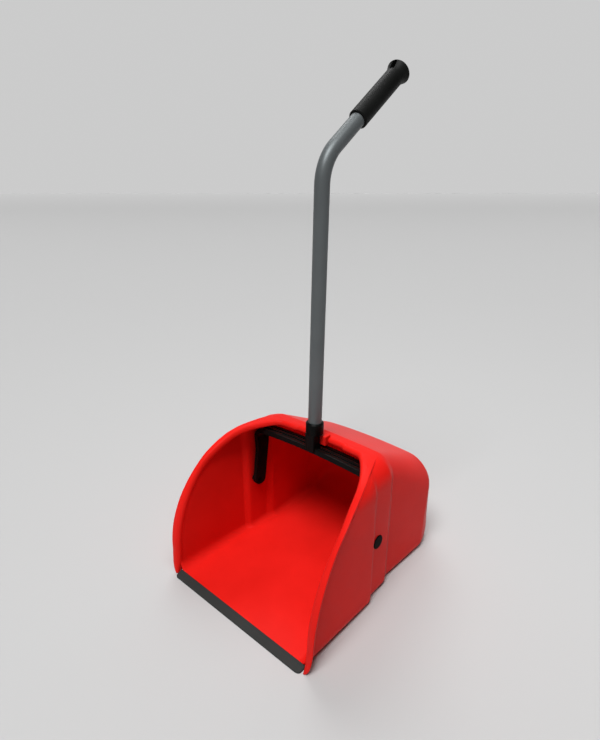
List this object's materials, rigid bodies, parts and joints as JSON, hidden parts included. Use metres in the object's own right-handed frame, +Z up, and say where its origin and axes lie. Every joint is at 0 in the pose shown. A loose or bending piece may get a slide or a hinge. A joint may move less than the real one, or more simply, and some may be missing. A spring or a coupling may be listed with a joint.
{
  "type": "long-handled lobby dustpan",
  "caption": "Upright dustpan with a deep moulded pan, rubber lip and a bent tube handle on a swinging yoke.",
  "frame": {"origin": "on the floor under the handle pivot axis, midway between the side walls", "axes": "+X to the right seen from the mouth side, +Y to the rear of the pan, +Z up"},
  "size_m": [0.353, 0.4486, 0.8921],
  "materials": {
    "pan_plastic": "satin",
    "lip_rubber": "matt",
    "yoke_plastic": "satin",
    "pin_plastic": "satin",
    "tube_metal": "satin grey coating",
    "grip_plastic": "fine grained",
    "screw_steel": "plated"
  },
  "bodies": {
    "pan": {"pan_body": "pan_plastic", "lip_blade": "lip_rubber"},
    "handle": {"yoke": "yoke_plastic", "pivot_pin_left": "pin_plastic", "pivot_pin_right": "pin_plastic", "handle_tube": "tube_metal", "grip": "grip_plastic", "socket_screw": "screw_steel"}
  },
  "joints": [
    {"name": "handle_swing", "type": "hinge", "parent": "pan", "child": "handle", "pos_m": [0, 0, 0.121], "axis": [1, 0, 0], "range_deg": [0, 100]}
  ]
}
